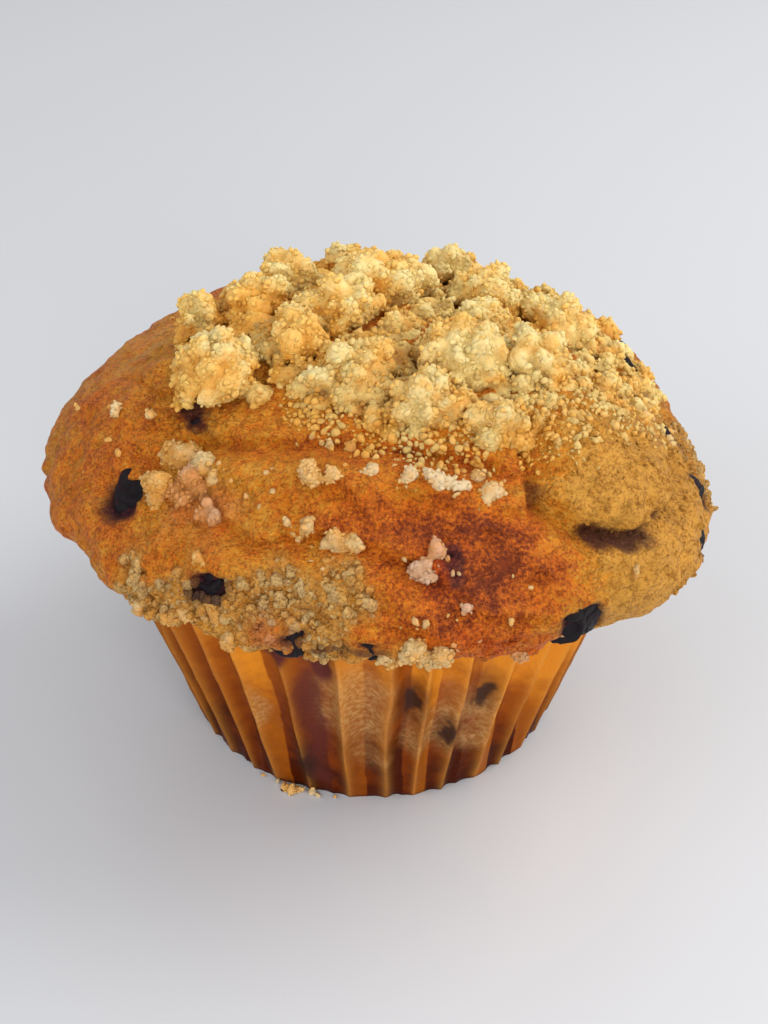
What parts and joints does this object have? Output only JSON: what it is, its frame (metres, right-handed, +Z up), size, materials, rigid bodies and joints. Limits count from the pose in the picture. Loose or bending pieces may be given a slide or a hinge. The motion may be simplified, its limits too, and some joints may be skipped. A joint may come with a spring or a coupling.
{
  "type": "blueberry crumb muffin in a fluted paper case",
  "caption": "Domed muffin with blueberries and lumpy crumb topping, baked in a round fluted paper case with a flat base.",
  "frame": {"origin": "centre of the paper case's flat base, on the surface that the muffin stands on", "axes": "+Z up along the case's axis; -Y is the front, the side with the cracked crust; +X is the right, the side that the crumb topping covers"},
  "size_m": [0.0802, 0.0807, 0.0597],
  "materials": {
    "baked_crust": "matte",
    "crumb_topping": "matte",
    "blueberry": "satin",
    "greaseproof_paper": "satin"
  },
  "bodies": {
    "root": {"case_berry_01": "blueberry", "case_berry_02": "blueberry", "case_berry_03": "blueberry", "case_berry_04": "blueberry", "case_berry_05": "blueberry", "case_berry_06": "blueberry", "case_berry_07": "blueberry", "case_berry_08": "blueberry", "crown_berry_01": "blueberry", "crown_berry_02": "blueberry", "crown_berry_03": "blueberry", "crown_berry_04": "blueberry", "crown_berry_05": "blueberry", "crown_berry_06": "blueberry", "crown_berry_07": "blueberry", "crown_berry_08": "blueberry", "crown_berry_09": "blueberry", "crown_berry_10": "blueberry", "crown_berry_11": "blueberry", "crown_berry_12": "blueberry", "crown_berry_13": "blueberry", "crown_berry_14": "blueberry", "crown_berry_15": "blueberry", "crown_berry_16": "blueberry", "crumb_bed": "crumb_topping", "crumb_lump_01": "crumb_topping", "crumb_lump_02": "crumb_topping", "crumb_lump_03": "crumb_topping", "crumb_lump_04": "crumb_topping", "crumb_lump_05": "crumb_topping", "crumb_lump_06": "crumb_topping", "crumb_lump_07": "crumb_topping", "crumb_lump_08": "crumb_topping", "crumb_lump_09": "crumb_topping", "crumb_lump_10": "crumb_topping", "crumb_lump_11": "crumb_topping", "crumb_lump_12": "crumb_topping", "crumb_lump_13": "crumb_topping", "crumb_lump_14": "crumb_topping", "crumb_lump_15": "crumb_topping", "crumb_lump_16": "crumb_topping", "crumb_lump_17": "crumb_topping", "muffin_cake": "baked_crust", "paper_case": "greaseproof_paper"}
  },
  "joints": []
}
